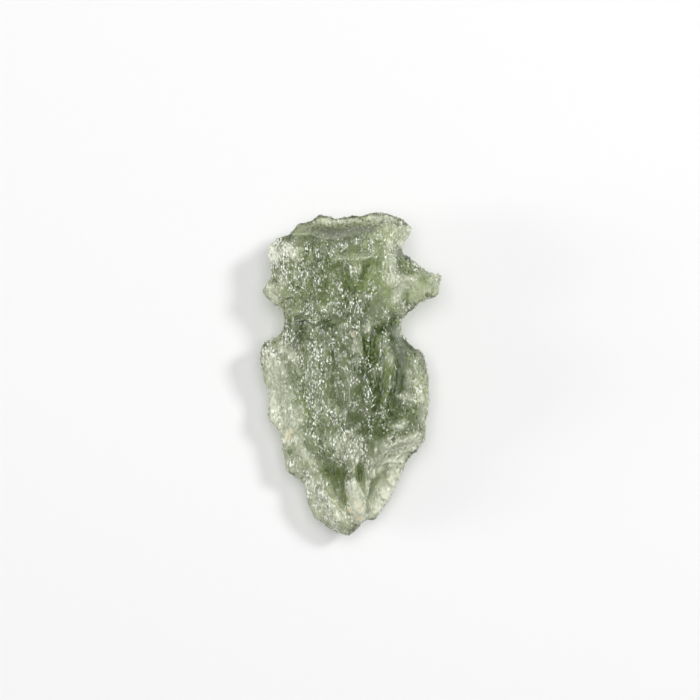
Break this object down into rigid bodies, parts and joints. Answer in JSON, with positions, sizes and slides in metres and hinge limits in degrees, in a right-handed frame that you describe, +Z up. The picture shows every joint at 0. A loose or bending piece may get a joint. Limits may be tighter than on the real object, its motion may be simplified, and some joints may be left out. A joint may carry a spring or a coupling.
{
  "type": "moldavite",
  "caption": "Flat tear of pale green natural glass, deeply etched all over, notched on both flanks, tapering to a blunt tip and resting on a small flat spot.",
  "frame": {"origin": "centre of the bounding box in plan, on the surface that the stone lies on", "axes": "+Z up from the surface, +Y from the tip to the broad head along the stone's length, +X towards the flank with the spur and the thicker glass"},
  "size_m": [0.0158, 0.028, 0.0066],
  "materials": {
    "moldavite_glass": "natural green tektite glass, see-through, with an etched, pitted and half matt skin and a few tan stains"
  },
  "bodies": {
    "root": {"moldavite": "moldavite_glass"}
  },
  "joints": []
}
